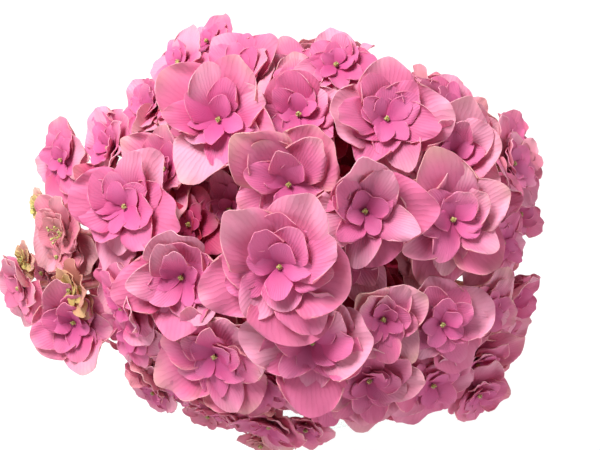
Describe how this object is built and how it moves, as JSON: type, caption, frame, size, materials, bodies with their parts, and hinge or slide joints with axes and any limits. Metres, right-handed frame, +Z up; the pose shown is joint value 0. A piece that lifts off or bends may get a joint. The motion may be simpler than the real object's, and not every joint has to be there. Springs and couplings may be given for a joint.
{
  "type": "hydrangea in a jar",
  "caption": "Double pink mophead hydrangea, cut and stood in a small clear glass jar of water.",
  "frame": {"origin": "middle of the jar's flat underside, on the surface that it stands on", "axes": "+Z up along the jar's axis; -Y is the front, the way the flower head leans and shows its fullest side; +X to the right of someone facing that side"},
  "size_m": [0.1745, 0.1512, 0.2429],
  "materials": {
    "clear_glass": "polished",
    "clear_water": "gloss",
    "stem_green": "satin",
    "sepal_pink": "satin"
  },
  "bodies": {
    "root": {"jar": "clear_glass", "stem": "stem_green", "water": "clear_water", "floret_01": "sepal_pink", "floret_02": "sepal_pink", "floret_03": "sepal_pink", "floret_04": "sepal_pink", "floret_05": "sepal_pink", "floret_06": "sepal_pink", "floret_07": "sepal_pink", "floret_08": "sepal_pink", "floret_09": "sepal_pink", "floret_10": "sepal_pink", "floret_11": "sepal_pink", "floret_12": "sepal_pink", "floret_13": "sepal_pink", "floret_14": "sepal_pink", "floret_15": "sepal_pink", "floret_16": "sepal_pink", "floret_17": "sepal_pink", "floret_18": "sepal_pink", "floret_19": "sepal_pink", "floret_20": "sepal_pink", "floret_21": "sepal_pink", "floret_22": "sepal_pink", "floret_23": "sepal_pink", "floret_24": "sepal_pink", "floret_25": "sepal_pink", "floret_26": "sepal_pink", "floret_27": "sepal_pink", "floret_28": "sepal_pink", "floret_29": "sepal_pink", "floret_30": "sepal_pink", "floret_31": "sepal_pink", "floret_32": "sepal_pink", "floret_33": "sepal_pink", "floret_34": "sepal_pink", "floret_35": "sepal_pink", "floret_36": "sepal_pink", "floret_37": "sepal_pink", "floret_38": "sepal_pink", "floret_39": "sepal_pink", "floret_40": "sepal_pink", "floret_41": "sepal_pink", "floret_42": "sepal_pink", "floret_43": "sepal_pink", "floret_44": "sepal_pink", "floret_45": "sepal_pink", "floret_46": "sepal_pink", "floret_47": "sepal_pink", "floret_48": "sepal_pink", "floret_49": "sepal_pink", "floret_50": "sepal_pink", "floret_51": "sepal_pink", "floret_52": "sepal_pink", "floret_53": "sepal_pink", "floret_54": "sepal_pink", "floret_55": "sepal_pink", "floret_56": "sepal_pink", "floret_57": "sepal_pink"}
  },
  "joints": []
}
